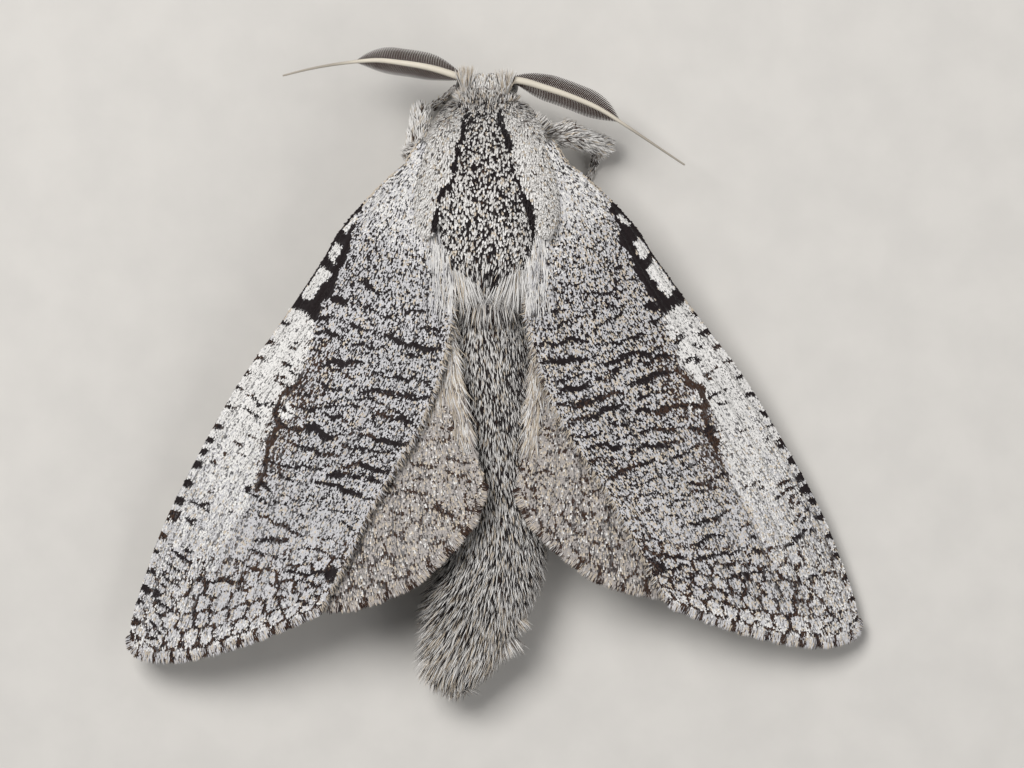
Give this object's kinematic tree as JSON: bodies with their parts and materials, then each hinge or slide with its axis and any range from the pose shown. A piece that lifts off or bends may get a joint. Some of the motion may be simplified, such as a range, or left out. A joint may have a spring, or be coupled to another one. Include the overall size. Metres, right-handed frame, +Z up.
{
  "type": "moth",
  "caption": "Life-size still model of a male wood moth at rest, wings spread as a low roof, combed antennae held sideways, hairy abdomen bent at its end.",
  "frame": {"origin": "floor level under the middle of the moth's bounding box", "axes": "+X to the moth's right, +Y where its head points, +Z up"},
  "size_m": [0.0412, 0.0372, 0.0093],
  "materials": {
    "body_coat": "pale grey hair scales, salt and pepper on the thorax",
    "compound_eye": "dark brown, softly shining",
    "antenna_scales": "cream shaft with dark brown comb",
    "forewing_scales": "grey and white scales with black-brown wavy cross lines",
    "hindwing_scales": "beige scales with faint brown cross lines",
    "leg_scales": "grey scales ringed with brown"
  },
  "bodies": {
    "root": {"head": "body_coat", "eye_left": "compound_eye", "eye_right": "compound_eye", "palp_left": "body_coat", "palp_right": "body_coat", "antenna_left": "antenna_scales", "antenna_right": "antenna_scales", "thorax": "body_coat", "abdomen": "body_coat", "forewing_left": "forewing_scales", "forewing_right": "forewing_scales", "hindwing_left": "hindwing_scales", "hindwing_right": "hindwing_scales", "foreleg_left": "leg_scales", "foreleg_right": "leg_scales", "midleg_left": "leg_scales", "midleg_right": "leg_scales", "hindleg_left": "leg_scales", "hindleg_right": "leg_scales"}
  },
  "joints": []
}
